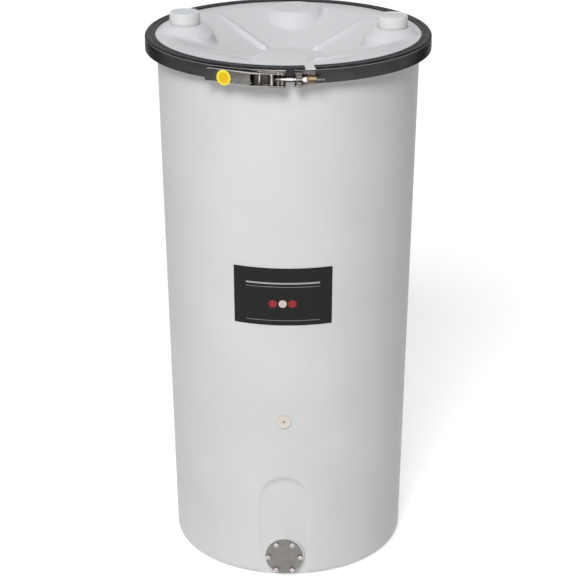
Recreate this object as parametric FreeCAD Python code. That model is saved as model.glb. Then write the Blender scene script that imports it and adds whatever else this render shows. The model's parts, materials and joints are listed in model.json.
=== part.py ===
# Free-standing wine tank: a moulded polyethylene body, a dished lid with two capped necks,
# a rubber-lined band clamp with an over-centre latch, a sample port and a blanked outlet.
# Millimetres, Z up. The origin is the centre of the flat bottom and the front faces -Y.
# Angles round the tank start at the front and grow towards +X.
import FreeCAD, Part
import math
import os

from FreeCAD import Vector

UP = Vector(0, 0, 1)
ORIGIN = Vector(0, 0, 0)
OUTWARD = Vector(0, -1, 0)

# Running and seating clearances
seat_gap = 0.3            # between pieces that lift or turn on each other
weld_gap = 0.1            # between pieces that are welded, glued or screwed together
pin_gap = 0.1             # round a pin, rivet or shaft, on the radius

# Tank body
body_height = 1163.0      # to the top of the rim flange
top_radius = 280.0        # outside of the wall just under the flange
taper = 24.0              # how much narrower the wall is at the floor, on the radius
wall = 7.0
floor_thickness = 9.0
base_corner = 22.0
floor_corner = 15.0
flange_width = 19.5       # how far the rim flange stands out from the wall
flange_thickness = 12.0
flange_corner = 8.0
mouth_round = 3.0
edge_round = 2.0

# Arched recess at the foot of the front
recess_width = 105.0
recess_top = 238.0
recess_inset = 6.0        # the flat lies this far inside the wall's foot
recess_side = 16.0        # how far the 45 degree sides run outward

# Blanked outlet in the recess
outlet_height = 56.0
outlet_bore = 50.0
boss_diameter = 88.0
boss_stand = 9.0
plate_diameter = 82.0
plate_thickness = 4.0
plate_round = 0.6
outlet_gasket_diameter = 84.0
outlet_gasket_thickness = 1.5
outlet_bolt_count = 6
outlet_bolt_circle = 71.0
outlet_bolt_diameter = 6.0
outlet_bolt_length = 16.0
outlet_head_diameter = 10.0
outlet_head_height = 5.0
outlet_socket_width = 5.0
outlet_socket_depth = 2.8
insert_diameter = 10.0
insert_length = 12.0
bolt_hole_clearance = 0.3

# Sample port
port_height = 385.0
port_flange_diameter = 30.0
port_flange_thickness = 3.0
port_shank_diameter = 18.0
port_shank_reach = 12.0   # inside the tank wall
port_bore = 12.0
port_seal_thickness = 2.0
port_nut_width = 30.0
port_nut_height = 6.0
port_socket_width = 5.0
port_socket_depth = 6.0
port_round = 1.0

# Label stuck on the front
label_low = 611.0
label_high = 740.0
label_arc = 44.8
label_angle = -0.5
label_thickness = 0.4

# Rim gasket between tank and lid
rim_gasket_thickness = 3.0
rim_gasket_inset = 3.0    # from the mouth
rim_gasket_margin = 2.5   # from the flange's edge

# Lid
lid_wall = 6.0
lid_flange_thickness = 9.0
lid_round = 3.0
lid_turn = -2.0           # how the lid sits turned on the tank, in degrees
dish_centre_depth = 56.0  # below the lid's shelf
dish_floor_depth = 52.0
dish_slope_width = 165.0
shelf_width = 40.0        # from the tank wall's outside to the dish
shelf_round = 30.0
dish_round = 60.0
spigot_clearance = 4.5    # inside the tank's mouth
spigot_depth = 16.0
spigot_corner = 4.0

# Raised bosses on the lid
neck_boss_height = 15.0   # above the shelf
neck_boss_crown = 37.0    # radius of the flat round the collar
neck_boss_shoulder = 60.0
neck_boss_drop = 18.0     # of the shoulder below the crown
neck_boss_foot = 76.0
neck_boss_round = 12.0
neck_setback = 59.0       # axis inside the tank wall's outside
pad_radius = 55.0
pad_height = 3.0
pad_round = 3.0
pad_foot = 97.0           # radius at the level of the dish's floor
pad_setback = 58.0

# Ribs across the dish
rib_angles = (54.0, 135.0, 225.0, 306.0)   # from the front, on the lid
rib_width = 18.0
rib_setback = 5.0         # outer end inside the shelf's edge
rib_inner_radius = 80.0
rib_inner_depth = 42.0    # crest below the shelf at the inner end

# Necks and screw caps
collar_diameter = 64.0
collar_height = 2.5
cap_gap = 0.5             # between the cap's skirt and the collar
neck_diameter = 55.0
neck_bore = 45.0
neck_height = 21.0
neck_edge_round = 1.0
cap_diameter = 66.0
cap_height = 24.0
cap_skirt_bore = 58.0
cap_round = 4.0
cap_dish_diameter = 48.0
cap_dish_depth = 1.6
cap_boss_diameter = 20.0
cap_boss_height = 0.8
cap_seal_thickness = 2.5
cap_seal_diameter = 56.0

# Clamp band, its rubber liner and the tongue behind the joint
liner_top_width = 16.5    # over the lid's edge
liner_top_thickness = 3.0
liner_leg_thickness = 2.7
liner_leg_depth = 24.0    # below the lid's shelf
liner_gap_from = 8.4
liner_gap_to = 12.5
liner_groove_inset = 7.5  # from the lid's edge
liner_groove_width = 2.2
liner_groove_depth = 1.0
liner_round = 1.2
band_thickness = 1.2
band_width = 28.0
band_drop = 15.0          # middle of the band below the lid's shelf
band_end_left = 1.2
band_end_right = 4.5
tongue_thickness = 0.6
tongue_clearance = 0.6    # between the rubber and the tongue
tongue_width = 22.0
tongue_from = -9.0
tongue_to = 16.0

# Latch: the bolt line runs from the barrel pin through the trunnion
clasp_drop = 2.0          # middle of the latch below the middle of the band
trunnion_angle = 5.8
trunnion_stand = 11.0     # axis outside the band
trunnion_radius = 7.5
trunnion_length = 28.0
slot_clearance = 0.4
barrel_angle = -4.0
barrel_stand = 11.5
barrel_radius = 4.0
barrel_stub_radius = 2.5
pivot_reach = 20.4        # pivot ahead of the barrel pin, along the bolt
over_centre = 2.2         # pivot outside the bolt line
rivet_radius = 3.0
rivet_head_radius = 4.5
rivet_head_height = 2.0

# Latch frame welded on the band
frame_from = -11.9
frame_to = 1.08
frame_width = 31.0
frame_sheet = 2.0
frame_low_stand = 5.0
frame_high_stand = 15.0
frame_step_from = -10.2
frame_step_to = -8.6
frame_nose_radius = 7.5
stop_pin_angle = -8.6
stop_pin_stand = 5.9
stop_pin_radius = 2.5

# Lever
lever_sheet = 1.5
lever_web_thickness = 1.8
lever_cheek_gap = 0.3     # between each cheek and the frame wall
lever_nose_radius = 7.0
lever_heel_angle = -5.4
lever_heel_stand = 4.6
lever_rest_angle = -7.9
lever_web_angle = -11.4   # where the web begins, next to the frame
lever_web_stand = 22.0
lever_tilt = 25.8         # direction of the web from the X axis
lever_length = 101.0
lever_bend_length = 15.0
lever_bend_rise = 5.5
lever_depth = 10.0
lever_tip_depth = 4.0
lever_tip_round = 6.0
tag_diameter = 32.0
tag_thickness = 0.8
tag_reach = 60.0          # from the start of the web
tag_drop = 3.0

# Eye bolt, sleeve and adjusting nut
bolt_diameter = 6.0
bolt_length = 106.5       # from the barrel pin's axis to the end
eye_radius = 7.0
eye_width = 16.0
sleeve_diameter = 11.0
sleeve_length = 9.6
nut_width = 13.0          # across flats
nut_length = 17.0
nut_collar_length = 2.5

# Loop strap that carries the trunnion
strap_thickness = 1.2
strap_gap = 0.2           # between trunnion and loop
strap_window = 18.0
strap_join_angle = 9.2
strap_end_angle = 12.0
strap_foot_thickness = 2.4

# Worked out from the driving dimensions
full_turn = 360.0
base_radius = top_radius - taper
flange_radius = top_radius + flange_width
recess_plane = base_radius - recess_inset
flange_bottom = body_height - flange_thickness
lid_bottom = body_height + rim_gasket_thickness
shelf_height = lid_bottom + lid_flange_thickness
neck_base = shelf_height + neck_boss_height
neck_top = neck_base + neck_height
cap_inside = neck_top + cap_seal_thickness
cap_top = neck_base + collar_height + cap_gap + cap_height
mouth_radius = top_radius - wall
spigot_radius = mouth_radius - spigot_clearance
shelf_inner_radius = top_radius - shelf_width
dish_floor_radius = shelf_inner_radius - dish_slope_width
neck_centre = top_radius - neck_setback
pad_centre = top_radius - pad_setback
rib_outer_radius = shelf_inner_radius - rib_setback
liner_inner = flange_radius + seat_gap
liner_outer = liner_inner + liner_leg_thickness
tongue_inner = liner_outer + tongue_clearance
band_inner = tongue_inner + tongue_thickness + weld_gap
band_radius = band_inner + band_thickness
band_height = shelf_height - band_drop
clasp_height = band_height - clasp_drop
pocket_depth = 80.0       # how far cutters reach past a face
half_frame = frame_width / 2
frame_inside = half_frame - frame_sheet
lever_half = frame_inside - lever_cheek_gap
cheek_inside = lever_half - lever_sheet


def outer_radius(height):
    """Outside of the tapered wall at a height."""
    return base_radius + (top_radius - base_radius) * height / flange_bottom


def inner_radius(height):
    """Inside of the tapered wall at a height."""
    rise = (height - floor_thickness) / (body_height - mouth_round - floor_thickness)
    return base_radius - wall + (top_radius - base_radius) * rise


def around(angle, stand):
    """Point at an angle round the tank and a distance outside the band."""
    turn = math.radians(angle)
    radius = band_radius + stand
    return Vector(radius * math.sin(turn), -radius * math.cos(turn), 0)


barrel_point = around(barrel_angle, barrel_stand)
trunnion_point = around(trunnion_angle, trunnion_stand)
bolt_line = (trunnion_point - barrel_point).normalize()
bolt_side = Vector(bolt_line.y, -bolt_line.x, 0)
pivot_point = barrel_point + bolt_line * pivot_reach + bolt_side * over_centre
lever_start = around(lever_web_angle, lever_web_stand)
lever_along = Vector(-math.cos(math.radians(lever_tilt)), math.sin(math.radians(lever_tilt)), 0)
lever_out = Vector(-lever_along.y, lever_along.x, 0)


def section_place(point):
    """Radius and height to the section plane at the front."""
    return Vector(0, -point.x, point.y)


def plan_place(point):
    return Vector(point.x, point.y, 0)


def rounded_wire(corners, place):
    """Closed outline through corners (x, y, radius), each radius limited by its sides."""
    stops = []
    count = len(corners)
    for index, (x, y, radius) in enumerate(corners):
        here = Vector(x, y, 0)
        back = Vector(corners[index - 1][0], corners[index - 1][1], 0) - here
        ahead = Vector(corners[(index + 1) % count][0], corners[(index + 1) % count][1], 0) - here
        if radius <= 0:
            stops.append((here, None, here))
            continue
        half = back.getAngle(ahead) / 2
        reach = min(radius / math.tan(half), 0.48 * min(back.Length, ahead.Length))
        fitted = reach * math.tan(half)
        back.normalize()
        ahead.normalize()
        centre = here + (back + ahead).normalize() * (fitted / math.sin(half))
        middle = centre + (here - centre).normalize() * fitted
        stops.append((here + back * reach, middle, here + ahead * reach))
    edges = []
    for index, (start, middle, end) in enumerate(stops):
        if middle is not None:
            edges.append(Part.Arc(place(start), place(middle), place(end)).toShape())
        following = stops[(index + 1) % count][0]
        if (following - end).Length > 1e-6:
            edges.append(Part.makeLine(place(end), place(following)))
    return Part.Wire(edges)


def positive(solid):
    if solid.Volume < 0:
        solid.reverse()
    return solid


def lathe(corners, start=0.0, sweep=full_turn):
    """Turn a section (radius, height, rounding) about the tank's axis."""
    turned = Part.Face(rounded_wire(corners, section_place)).revolve(ORIGIN, UP, sweep)
    turned.rotate(ORIGIN, UP, start)
    return positive(turned)


def slab(corners, low, high):
    """Upright prism over a plan outline (x, y, rounding)."""
    prism = Part.Face(rounded_wire(corners, plan_place)).extrude(Vector(0, 0, high - low))
    prism.translate(Vector(0, 0, low))
    return positive(prism)


def post(point, radius, low, high):
    return Part.makeCylinder(radius, high - low, Vector(point.x, point.y, low), UP)


def rod(radius, length, start, direction):
    return Part.makeCylinder(radius, length, start, direction)


def ring(outer, inner, low, high):
    return post(ORIGIN, outer, low, high).cut(post(ORIGIN, inner, low - 1, high + 1))


def corner(point, rounding=0.0):
    return (point.x, point.y, rounding)


def hexagon(width, length, start, direction):
    """Hexagonal bar of a width across flats."""
    radius = width / math.sqrt(3)
    points = []
    for step in range(7):
        turn = math.radians(60 * step + 30)
        points.append(Vector(radius * math.cos(turn), radius * math.sin(turn), 0))
    bar = Part.Face(Part.makePolygon(points)).extrude(Vector(0, 0, length))
    bar.Placement = FreeCAD.Placement(start, FreeCAD.Rotation(UP, direction))
    return positive(bar)


def arch_wire(grow, plane):
    """Arched outline of the recess on an upright plane in front of the axis."""
    half = recess_width / 2 + grow
    spring = recess_top - recess_width / 2
    low = -pocket_depth
    left = Vector(-half, -plane, low)
    left_spring = Vector(-half, -plane, spring)
    crown = Vector(0, -plane, spring + half)
    right_spring = Vector(half, -plane, spring)
    right = Vector(half, -plane, low)
    return Part.Wire([
        Part.makeLine(left, left_spring),
        Part.Arc(left_spring, crown, right_spring).toShape(),
        Part.makeLine(right_spring, right),
        Part.makeLine(right, left),
    ])


def recess_space(grow):
    """Space in front of the recess, grown towards the inside by a wall thickness."""
    plane = recess_plane - grow
    inner = arch_wire(grow, plane)
    outer = arch_wire(grow + recess_side, plane + recess_side)
    return positive(Part.makeLoft([inner, outer], True, True))


def front_point(height, distance):
    return Vector(0, -distance, height)


def outlet_bolt_points(distance):
    points = []
    for number in range(outlet_bolt_count):
        turn = 2 * math.pi * number / outlet_bolt_count
        x = outlet_bolt_circle / 2 * math.cos(turn)
        z = outlet_height + outlet_bolt_circle / 2 * math.sin(turn)
        points.append(Vector(x, -distance, z))
    return points


boss_face = recess_plane + boss_stand
gasket_face = boss_face + outlet_gasket_thickness
plate_face = gasket_face + plate_thickness


def make_tank_body():
    outside = lathe([
        (0, 0, 0),
        (base_radius, 0, base_corner),
        (top_radius, flange_bottom, flange_corner),
        (flange_radius, flange_bottom, edge_round),
        (flange_radius, body_height, edge_round),
        (0, body_height, 0),
    ])
    inside = lathe([
        (0, floor_thickness, 0),
        (base_radius - wall, floor_thickness, floor_corner),
        (mouth_radius, body_height - mouth_round, mouth_round),
        (mouth_radius + 2 * mouth_round, body_height + mouth_round, 0),
        (0, body_height + mouth_round, 0),
    ])
    body = outside.cut(recess_space(0.0)).cut(inside.cut(recess_space(wall)))
    root = recess_plane - wall / 2
    boss = rod(boss_diameter / 2, boss_face - root, front_point(outlet_height, root), OUTWARD)
    body = body.fuse(boss)
    bore_start = front_point(outlet_height, recess_plane - 2 * wall)
    body = body.cut(rod(outlet_bore / 2, boss_stand + 3 * wall, bore_start, OUTWARD))
    for point in outlet_bolt_points(boss_face - insert_length - weld_gap):
        pocket = insert_length + wall
        body = body.cut(rod(insert_diameter / 2 + weld_gap, pocket, point, OUTWARD))
    port_start = front_point(port_height, outer_radius(port_height) - 2 * wall)
    port_hole = port_shank_diameter / 2 + pin_gap
    return body.cut(rod(port_hole, 4 * wall, port_start, OUTWARD)).removeSplitter()


def make_outlet_gasket():
    gasket = rod(outlet_gasket_diameter / 2, outlet_gasket_thickness,
                 front_point(outlet_height, boss_face), OUTWARD)
    gasket = gasket.cut(rod(outlet_bore / 2, outlet_gasket_thickness,
                            front_point(outlet_height, boss_face), OUTWARD))
    hole = outlet_bolt_diameter / 2 + bolt_hole_clearance
    for point in outlet_bolt_points(boss_face):
        gasket = gasket.cut(rod(hole, outlet_gasket_thickness, point, OUTWARD))
    return gasket


def make_outlet_plate():
    plate = rod(plate_diameter / 2, plate_thickness, front_point(outlet_height, gasket_face), OUTWARD)
    rim = [edge for edge in plate.Edges if abs(edge.CenterOfMass.y + plate_face) < 1e-3]
    plate = plate.makeFillet(plate_round, rim)
    hole = outlet_bolt_diameter / 2 + bolt_hole_clearance
    for point in outlet_bolt_points(gasket_face):
        plate = plate.cut(rod(hole, plate_thickness, point, OUTWARD))
    return plate


def make_outlet_bolts():
    bolts = []
    under_head = plate_face
    for point in outlet_bolt_points(under_head):
        head = rod(outlet_head_diameter / 2, outlet_head_height, point, OUTWARD)
        shank_start = point - OUTWARD * outlet_bolt_length
        shank = rod(outlet_bolt_diameter / 2, outlet_bolt_length + 0.5, shank_start, OUTWARD)
        socket_start = point + OUTWARD * (outlet_head_height - outlet_socket_depth)
        socket = hexagon(outlet_socket_width, outlet_socket_depth + 1, socket_start, OUTWARD)
        bolts.append(head.fuse(shank).cut(socket).removeSplitter())
    return Part.makeCompound(bolts)


def make_outlet_inserts():
    inserts = []
    bore = outlet_bolt_diameter / 2 + pin_gap
    for point in outlet_bolt_points(boss_face - insert_length):
        insert = rod(insert_diameter / 2, insert_length, point, OUTWARD)
        inserts.append(insert.cut(rod(bore, insert_length, point, OUTWARD)))
    return Part.makeCompound(inserts)


def port_tube(outer, inner, start, length):
    tube = rod(outer, length, front_point(port_height, start), OUTWARD)
    return tube.cut(rod(inner, length, front_point(port_height, start), OUTWARD))


port_seat = outer_radius(port_height + port_flange_diameter / 2) + weld_gap
port_inside = math.sqrt(inner_radius(port_height - port_nut_width / 2) ** 2 - (port_nut_width / 2) ** 2)
port_end = port_inside - port_shank_reach
port_face = port_seat + port_flange_thickness


def make_port_bush():
    flange = rod(port_flange_diameter / 2, port_flange_thickness,
                 front_point(port_height, port_seat), OUTWARD)
    rim = [edge for edge in flange.Edges if abs(edge.CenterOfMass.y + port_face) < 1e-3]
    flange = flange.makeFillet(port_round, rim)
    shank_length = port_face - port_end - port_round
    shank = rod(port_shank_diameter / 2, shank_length, front_point(port_height, port_end), OUTWARD)
    bore_length = port_face - port_end + port_round
    bore = rod(port_bore / 2, bore_length, front_point(port_height, port_end), OUTWARD)
    return flange.fuse(shank).cut(bore).removeSplitter()


def make_port_seal():
    start = port_inside - weld_gap - port_seal_thickness
    return port_tube(port_nut_width / 2, port_shank_diameter / 2 + pin_gap, start, port_seal_thickness)


def make_port_nut():
    start = port_inside - 2 * weld_gap - port_seal_thickness - port_nut_height
    nut = hexagon(port_nut_width, port_nut_height, front_point(port_height, start), OUTWARD)
    bore = port_shank_diameter / 2 + pin_gap
    return nut.cut(rod(bore, port_nut_height, front_point(port_height, start), OUTWARD))


def make_port_plug():
    start = front_point(port_height, port_end)
    length = port_face - port_end - seat_gap
    plug = rod(port_bore / 2 - pin_gap, length, start, OUTWARD)
    socket_start = front_point(port_height, port_face - seat_gap - port_socket_depth)
    return plug.cut(hexagon(port_socket_width, port_socket_depth + 1, socket_start, OUTWARD))


def make_label():
    low = outer_radius(label_low) + weld_gap
    high = outer_radius(label_high) + weld_gap
    section = [
        (low, label_low, 0),
        (low + label_thickness, label_low, 0),
        (high + label_thickness, label_high, 0),
        (high, label_high, 0),
    ]
    return lathe(section, label_angle - label_arc / 2, label_arc)


def make_rim_gasket():
    return ring(flange_radius - rim_gasket_margin, mouth_radius + rim_gasket_inset,
                body_height, lid_bottom)


def lid_point(angle, radius):
    turn = math.radians(angle)
    return Vector(radius * math.sin(turn), -radius * math.cos(turn), 0)


def boss_form(point, foot_radius, crest):
    """Round boss from below the lid up to its crest, whose last corner ends the flat top."""
    low = shelf_height - pocket_depth
    form = lathe([
        (0, low, 0),
        (foot_radius, low, 0),
        (foot_radius, shelf_height - dish_floor_depth, 0),
        *crest,
        (0, crest[-1][1], 0),
    ])
    form.translate(point)
    return form


def neck_boss(point, inside):
    """Dome under a neck, or the hollow that lies inside it by a wall."""
    return boss_form(point, neck_boss_foot - inside, [
        (neck_boss_shoulder - inside, neck_base - neck_boss_drop - inside, neck_boss_round),
        (neck_boss_crown - inside, neck_base - inside, neck_boss_round),
    ])


def make_rib():
    """One straight rib down the dish slope, with a round crest and round ends."""
    half = rib_width / 2
    low = shelf_height - pocket_depth
    inner = Vector(0, -rib_inner_radius, shelf_height - rib_inner_depth - half)
    outer = Vector(0, -rib_outer_radius, shelf_height - half)
    run = outer - inner
    crest = rod(half, run.Length, inner, run)
    web = Part.makePolygon([
        Vector(-half, inner.y, low),
        Vector(-half, outer.y, low),
        Vector(-half, outer.y, outer.z),
        Vector(-half, inner.y, inner.z),
        Vector(-half, inner.y, low),
    ])
    web = positive(Part.Face(web).extrude(Vector(rib_width, 0, 0)))
    pieces = [crest]
    for end in (inner, outer):
        pieces.append(post(end, half, low, end.z))
        pieces.append(Part.makeSphere(half, end))
    return web.fuse(pieces)


def neck_points():
    return [lid_point(-90, neck_centre), lid_point(90, neck_centre)]


def make_lid():
    low = shelf_height - pocket_depth
    dish_floor = shelf_height - dish_floor_depth
    dish_centre = shelf_height - dish_centre_depth
    form = lathe([
        (0, low, 0),
        (flange_radius, low, 0),
        (flange_radius, shelf_height, lid_round),
        (shelf_inner_radius, shelf_height, shelf_round),
        (dish_floor_radius, dish_floor, dish_round),
        (0, dish_centre, 0),
    ])
    slope = math.atan2(dish_floor_depth, shelf_inner_radius - dish_floor_radius)
    shift = lid_wall * math.tan(slope / 2)
    spigot_inner = spigot_radius - lid_wall
    spigot_low = lid_bottom - spigot_depth
    below = lathe([
        (0, low - 1, 0),
        (flange_radius + 1, low - 1, 0),
        (flange_radius + 1, lid_bottom, 0),
        (spigot_radius, lid_bottom, 0),
        (spigot_radius, spigot_low, edge_round),
        (spigot_inner, spigot_low, edge_round),
        (spigot_inner, shelf_height - lid_wall, spigot_corner),
        (shelf_inner_radius + shift, shelf_height - lid_wall, shelf_round - lid_wall),
        (dish_floor_radius + shift, dish_floor - lid_wall, dish_round + lid_wall),
        (0, dish_centre - lid_wall, 0),
    ])
    form_limit = post(ORIGIN, flange_radius - lid_round, low, neck_top)
    hollow_limit = post(ORIGIN, spigot_inner, low, neck_top)
    hollows = []
    for point in neck_points():
        form = form.fuse(neck_boss(point, 0.0))
        form = form.fuse(post(point, collar_diameter / 2, neck_base - lid_wall,
                              neck_base + collar_height))
        hollows.append(neck_boss(point, lid_wall).common(hollow_limit))
    for angle in (0, 180):
        point = lid_point(angle, pad_centre)
        top = shelf_height + pad_height
        pad = boss_form(point, pad_foot, [(pad_radius, top, pad_round)])
        form = form.fuse(pad.common(form_limit))
        hollow = boss_form(point, pad_foot - lid_wall, [(pad_radius - lid_wall, top - lid_wall, 0)])
        hollows.append(hollow.common(hollow_limit))
    for angle in rib_angles:
        rib = make_rib()
        rib.rotate(ORIGIN, UP, angle)
        form = form.fuse(rib)
    lid = form.cut(below)
    for hollow in hollows:
        lid = lid.cut(hollow)
    for point in neck_points():
        neck = lathe([
            (neck_bore / 2 - 1, neck_base - lid_wall, 0),
            (neck_diameter / 2, neck_base - lid_wall, 0),
            (neck_diameter / 2, neck_top, neck_edge_round),
            (neck_bore / 2 - 1, neck_top, 0),
        ])
        neck.translate(point)
        lid = lid.fuse(neck)
        lid = lid.cut(post(point, neck_bore / 2, low, neck_top + 1))
    lid = lid.removeSplitter()
    lid.rotate(ORIGIN, UP, lid_turn)
    return lid


def make_cap(point):
    skirt_low = cap_top - cap_height
    dish = cap_top - cap_dish_depth
    cap = lathe([
        (0, cap_inside, 0),
        (cap_skirt_bore / 2, cap_inside, 0),
        (cap_skirt_bore / 2, skirt_low, 0),
        (cap_diameter / 2, skirt_low, edge_round / 2),
        (cap_diameter / 2, cap_top, cap_round),
        (cap_dish_diameter / 2, cap_top, 0.4),
        (cap_dish_diameter / 2, dish, 0.4),
        (cap_boss_diameter / 2, dish, 0.2),
        (cap_boss_diameter / 2, dish + cap_boss_height, 0.3),
        (0, dish + cap_boss_height, 0),
    ])
    cap.translate(point)
    cap.rotate(ORIGIN, UP, lid_turn)
    return cap


def make_cap_seal(point):
    seal = post(point, cap_seal_diameter / 2, neck_top, cap_inside)
    seal.rotate(ORIGIN, UP, lid_turn)
    return seal


def make_liner():
    """Angle-section rubber ring over the lid's edge, split at the front."""
    bottom = shelf_height + seat_gap
    top = bottom + liner_top_thickness
    low = shelf_height - liner_leg_depth
    lip = flange_radius - liner_top_width
    groove_from = flange_radius - liner_groove_inset - liner_groove_width / 2
    groove_to = groove_from + liner_groove_width
    section = [
        (lip, bottom, 0),
        (liner_inner, bottom, 0),
        (liner_inner, low, 0),
        (liner_outer, low, 0),
        (liner_outer, top, liner_round),
        (groove_to, top, 0.3),
        (groove_to, top - liner_groove_depth, 0),
        (groove_from, top - liner_groove_depth, 0),
        (groove_from, top, 0.3),
        (lip, top, liner_round),
    ]
    return lathe(section, liner_gap_to, full_turn - liner_gap_to + liner_gap_from)


def sector(inner, outer, low, high, start, end):
    section = [(inner, low, 0), (outer, low, 0), (outer, high, 0), (inner, high, 0)]
    return lathe(section, start, end - start)


def make_band():
    low = band_height - band_width / 2
    return sector(band_inner, band_radius, low, low + band_width,
                  band_end_right, band_end_left + full_turn)


def make_tongue():
    low = band_height - tongue_width / 2
    return sector(tongue_inner, tongue_inner + tongue_thickness, low, low + tongue_width,
                  tongue_from, tongue_to)


def mirrored_pair(build):
    """Two like pieces, one above and one below the middle of the latch."""
    upper = build()
    lower = upper.mirror(Vector(0, 0, clasp_height), UP)
    return upper, lower


def frame_wall():
    nose_out = pivot_point + Vector(frame_nose_radius, -frame_nose_radius, 0)
    nose_in = pivot_point + Vector(frame_nose_radius, pivot_point.Length - band_radius, 0)
    outline = [
        corner(around(frame_from, -frame_low_stand)),
        corner(around(frame_from, frame_low_stand), 1.5),
        corner(around(frame_step_from, frame_low_stand), 3.0),
        corner(around(frame_step_to, frame_high_stand), 3.0),
        corner(nose_out, frame_nose_radius),
        corner(nose_in),
    ]
    low = clasp_height + frame_inside
    blade = slab(outline, low, clasp_height + half_frame)
    return blade.cut(post(ORIGIN, band_radius + weld_gap, low - 1, clasp_height + frame_width))


def make_latch_frame():
    inner = band_radius + weld_gap
    plate = sector(inner, inner + frame_sheet, clasp_height - half_frame, clasp_height + half_frame,
                   frame_from, frame_to)
    frame = plate.fuse(list(mirrored_pair(frame_wall)))
    low = clasp_height - frame_width
    high = clasp_height + frame_width
    frame = frame.cut(post(pivot_point, rivet_radius + weld_gap, low, high))
    stop_point = around(stop_pin_angle, stop_pin_stand)
    return frame.cut(post(stop_point, stop_pin_radius - 0.5 + weld_gap, low, high)).removeSplitter()


def make_lever_rivets():
    def rivet():
        top = clasp_height + half_frame
        shank = post(pivot_point, rivet_radius, clasp_height + cheek_inside - 0.5, top + 0.5)
        head = post(pivot_point, rivet_head_radius, top, top + rivet_head_height)
        rim = [edge for edge in head.Edges if abs(edge.CenterOfMass.z - top - rivet_head_height) < 1e-3]
        return head.makeFillet(rivet_head_height / 2, rim).fuse(shank).removeSplitter()
    return Part.makeCompound(list(mirrored_pair(rivet)))


def make_stop_pin():
    point = around(stop_pin_angle, stop_pin_stand)
    body = post(point, stop_pin_radius, clasp_height - frame_inside, clasp_height + frame_inside)
    stub = post(point, stop_pin_radius - 0.5, clasp_height - half_frame, clasp_height + half_frame)
    return body.fuse(stub).removeSplitter()


def lever_point(along, out):
    return lever_start + lever_along * along + lever_out * out


def lever_cheek():
    nose = lever_nose_radius
    straight = lever_length - lever_bend_length
    rest_stand = stop_pin_stand + stop_pin_radius
    outline = [
        corner(pivot_point + Vector(nose, -nose, 0), nose),
        corner(pivot_point + Vector(nose, nose, 0), nose),
        corner(around(lever_heel_angle, lever_heel_stand), 5.0),
        corner(around(lever_rest_angle, rest_stand), 3.0),
        corner(lever_point(5.0, -lever_depth), 3.0),
        corner(lever_point(straight - 4, -lever_tip_depth), 2.0),
        corner(lever_point(straight, 0)),
        corner(lever_point(0, 0), 2.0),
    ]
    return slab(outline, clasp_height + cheek_inside, clasp_height + lever_half)


def make_lever():
    straight = lever_length - lever_bend_length
    under = -lever_web_thickness
    outline = [
        corner(lever_point(0, 0)),
        corner(lever_point(straight, 0), 8.0),
        corner(lever_point(lever_length, lever_bend_rise)),
        corner(lever_point(lever_length + 0.6, lever_bend_rise + under)),
        corner(lever_point(straight + 0.3, under), 9.0),
        corner(lever_point(0, under)),
    ]
    web = slab(outline, clasp_height - lever_half, clasp_height + lever_half)
    trim = Part.Face(rounded_wire([
        (-10, -lever_half, 0),
        (lever_length, -lever_half, lever_tip_round),
        (lever_length, lever_half, lever_tip_round),
        (-10, lever_half, 0),
    ], lambda point: lever_start + lever_along * point.x + Vector(0, 0, clasp_height + point.y)))
    trim = positive(trim.extrude(lever_out * 2 * pocket_depth))
    trim.translate(lever_out * -pocket_depth)
    web = web.common(trim)
    lever = web.fuse(list(mirrored_pair(lever_cheek)))
    low = clasp_height - frame_width
    high = clasp_height + frame_width
    lever = lever.cut(post(pivot_point, rivet_radius + pin_gap, low, high))
    return lever.cut(post(barrel_point, barrel_stub_radius + weld_gap, low, high)).removeSplitter()


def make_barrel_pin():
    body = post(barrel_point, barrel_radius, clasp_height - cheek_inside + weld_gap,
                clasp_height + cheek_inside - weld_gap)
    stub = post(barrel_point, barrel_stub_radius, clasp_height - lever_half, clasp_height + lever_half)
    return body.fuse(stub).removeSplitter()


def make_lever_tag():
    centre = lever_point(tag_reach, weld_gap) + Vector(0, 0, clasp_height - tag_drop)
    return rod(tag_diameter / 2, tag_thickness, centre, lever_out)


def bolt_point(reach):
    return barrel_point + bolt_line * reach + Vector(0, 0, clasp_height)


def make_eye_bolt():
    half = eye_width / 2
    eye = post(barrel_point, eye_radius, clasp_height - half, clasp_height + half)
    shank = rod(bolt_diameter / 2, bolt_length, bolt_point(0), bolt_line)
    hole = post(barrel_point, barrel_radius + pin_gap, clasp_height - eye_width,
                clasp_height + eye_width)
    return eye.fuse(shank).cut(hole).removeSplitter()


sleeve_start = (trunnion_point - barrel_point).Length + trunnion_radius + seat_gap


def bolt_ring(outer, start, length):
    tube = rod(outer, length, bolt_point(start), bolt_line)
    return tube.cut(rod(bolt_diameter / 2 + pin_gap, length, bolt_point(start), bolt_line))


def make_bolt_sleeve():
    return bolt_ring(sleeve_diameter / 2, sleeve_start, sleeve_length)


def make_adjusting_nut():
    start = sleeve_start + sleeve_length + weld_gap
    bar = hexagon(nut_width, nut_length, bolt_point(start), bolt_line)
    chamfer = rod(nut_width / 2 * 1.08, nut_length, bolt_point(start), bolt_line)
    collar = rod(nut_width / 2 * 1.18, nut_collar_length, bolt_point(start), bolt_line)
    bore = rod(bolt_diameter / 2 + pin_gap, nut_length, bolt_point(start), bolt_line)
    return bar.common(chamfer).fuse(collar).cut(bore).removeSplitter()


def make_trunnion():
    half = trunnion_length / 2
    body = post(trunnion_point, trunnion_radius, clasp_height - half, clasp_height + half)
    room = bolt_diameter / 2 + slot_clearance
    start = trunnion_point - bolt_line * trunnion_radius * 2
    inner = start - bolt_side * room
    outer = start + bolt_side * trunnion_radius * 2
    run = bolt_line * trunnion_radius * 4
    slot = slab([corner(inner), corner(outer), corner(outer + run), corner(inner + run)],
                clasp_height - room, clasp_height + room)
    return body.cut(slot)


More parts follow.
